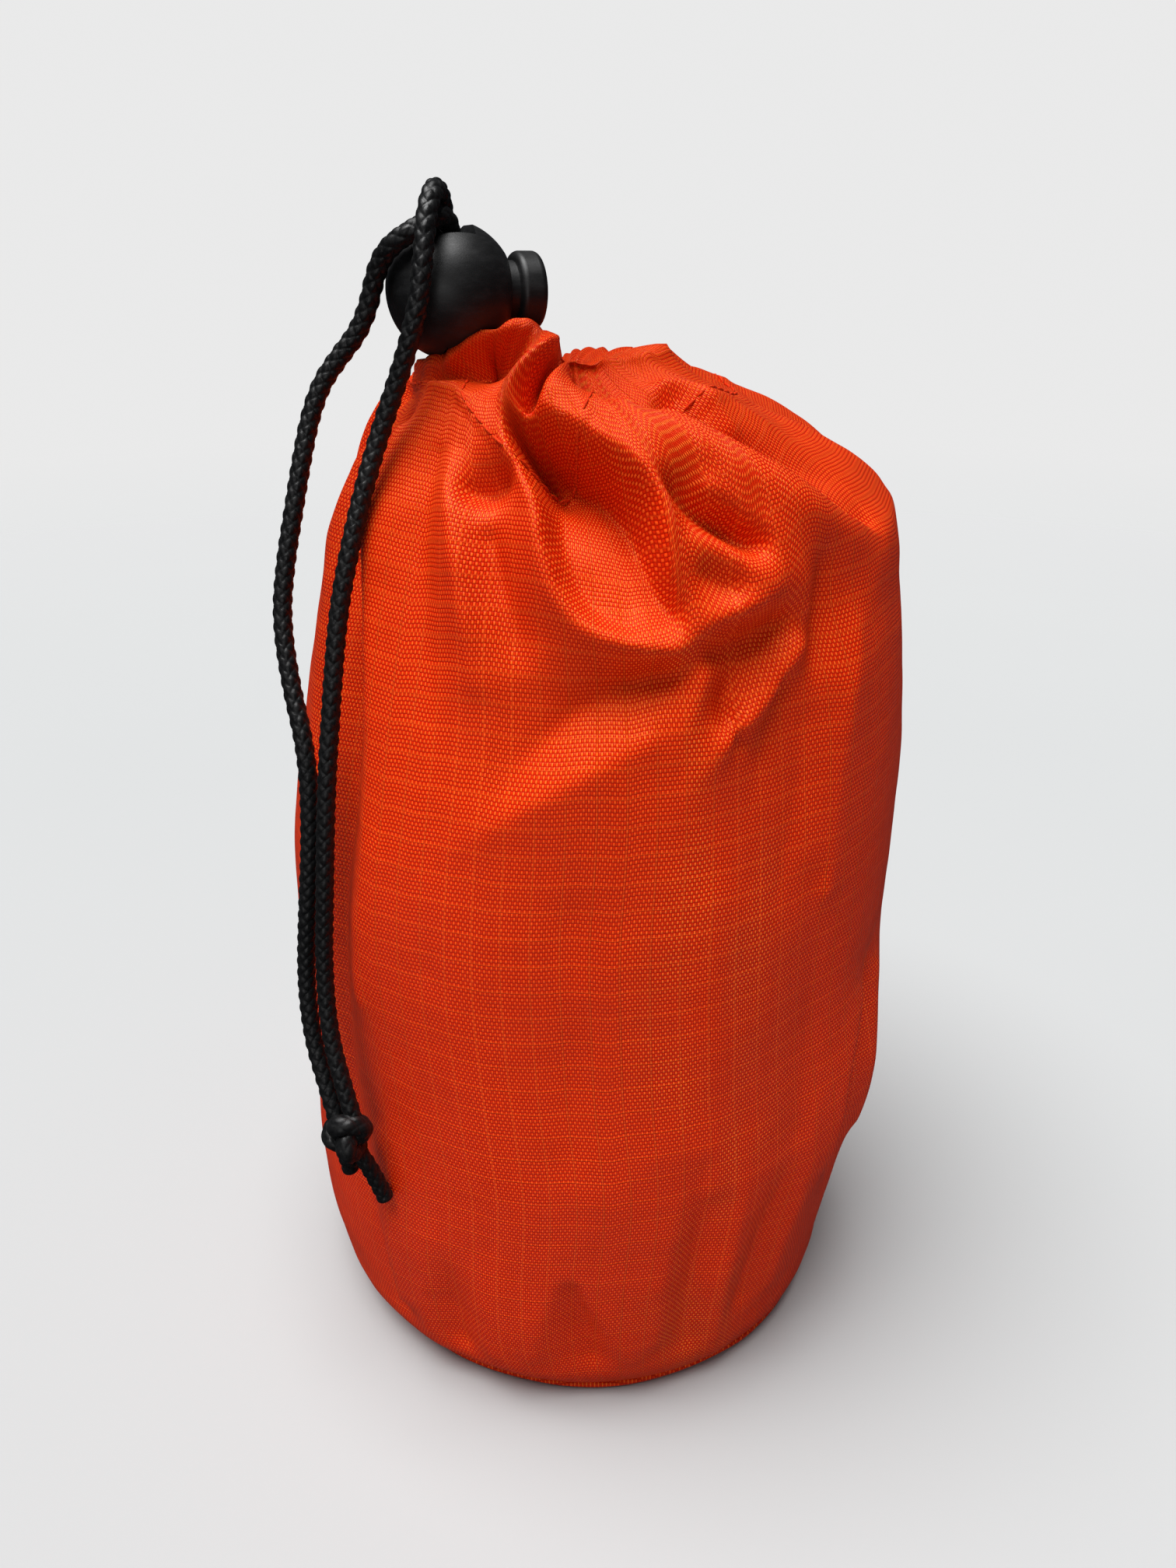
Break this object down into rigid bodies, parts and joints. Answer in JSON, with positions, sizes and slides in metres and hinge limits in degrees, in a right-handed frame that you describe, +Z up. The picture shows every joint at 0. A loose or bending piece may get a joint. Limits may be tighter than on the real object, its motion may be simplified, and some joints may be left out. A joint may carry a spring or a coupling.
{
  "type": "stuff sack",
  "caption": "Round-based drawstring stuff sack, packed full and cinched shut, with a ball cord lock on a doubled cord that hangs down one side to a knot.",
  "frame": {"origin": "centre of the base's underside, on the surface that the sack stands on", "axes": "+Z up through the sack towards its mouth, +X to the right of the front, +Y from the front to the back"},
  "size_m": [0.1093, 0.1091, 0.2011],
  "materials": {
    "cloth": "fluorescent orange-red oxford nylon, plain weave",
    "hem": "the same nylon, folded and crumpled",
    "seam_edges": "raw nylon edges",
    "thread": "orange polyester thread",
    "cord": "black round braid",
    "lock": "black moulded, fine satin",
    "button": "black moulded, fine satin",
    "spring": "music wire",
    "load": "soft packed clothing"
  },
  "bodies": {
    "sack": {"front_panel": "cloth", "back_panel": "cloth", "base_panel": "cloth", "base_seam_allowance": "seam_edges", "left_seam_allowance": "seam_edges", "right_seam_allowance": "seam_edges", "hem_channel": "hem", "hem_stitching": "thread", "gap_bartack_front": "thread", "gap_bartack_back": "thread", "packed_contents": "load", "drawcord": "cord"},
    "lock": {"lock_barrel": "lock", "lock_spring": "spring", "front_bend": "cord", "left_bend": "cord"},
    "plunger": {"lock_plunger": "button"},
    "tails": {"front_strand": "cord", "left_strand": "cord", "cord_knot": "cord", "long_end": "cord", "short_end": "cord"}
  },
  "joints": [
    {"name": "lock_slide", "type": "slide", "parent": "sack", "child": "lock", "axis": [0, 0, 1], "range_m": [0, 0.012]},
    {"name": "plunger_press", "type": "slide", "parent": "lock", "child": "plunger", "axis": [-0.9265, -0.3762, 0], "range_m": [0, 0.0028], "stiffness_N_per_m": 1500, "springref_m": -0.001, "deforming": ["lock_spring"]},
    {"name": "tail_swing", "type": "hinge", "parent": "lock", "child": "tails", "pos_m": [-0.02285, -0.02308, 0.195], "axis": [-0.5074, 0.8316, -0.2255], "range_deg": [0, 25], "deforming": ["front_bend", "left_bend"]}
  ]
}
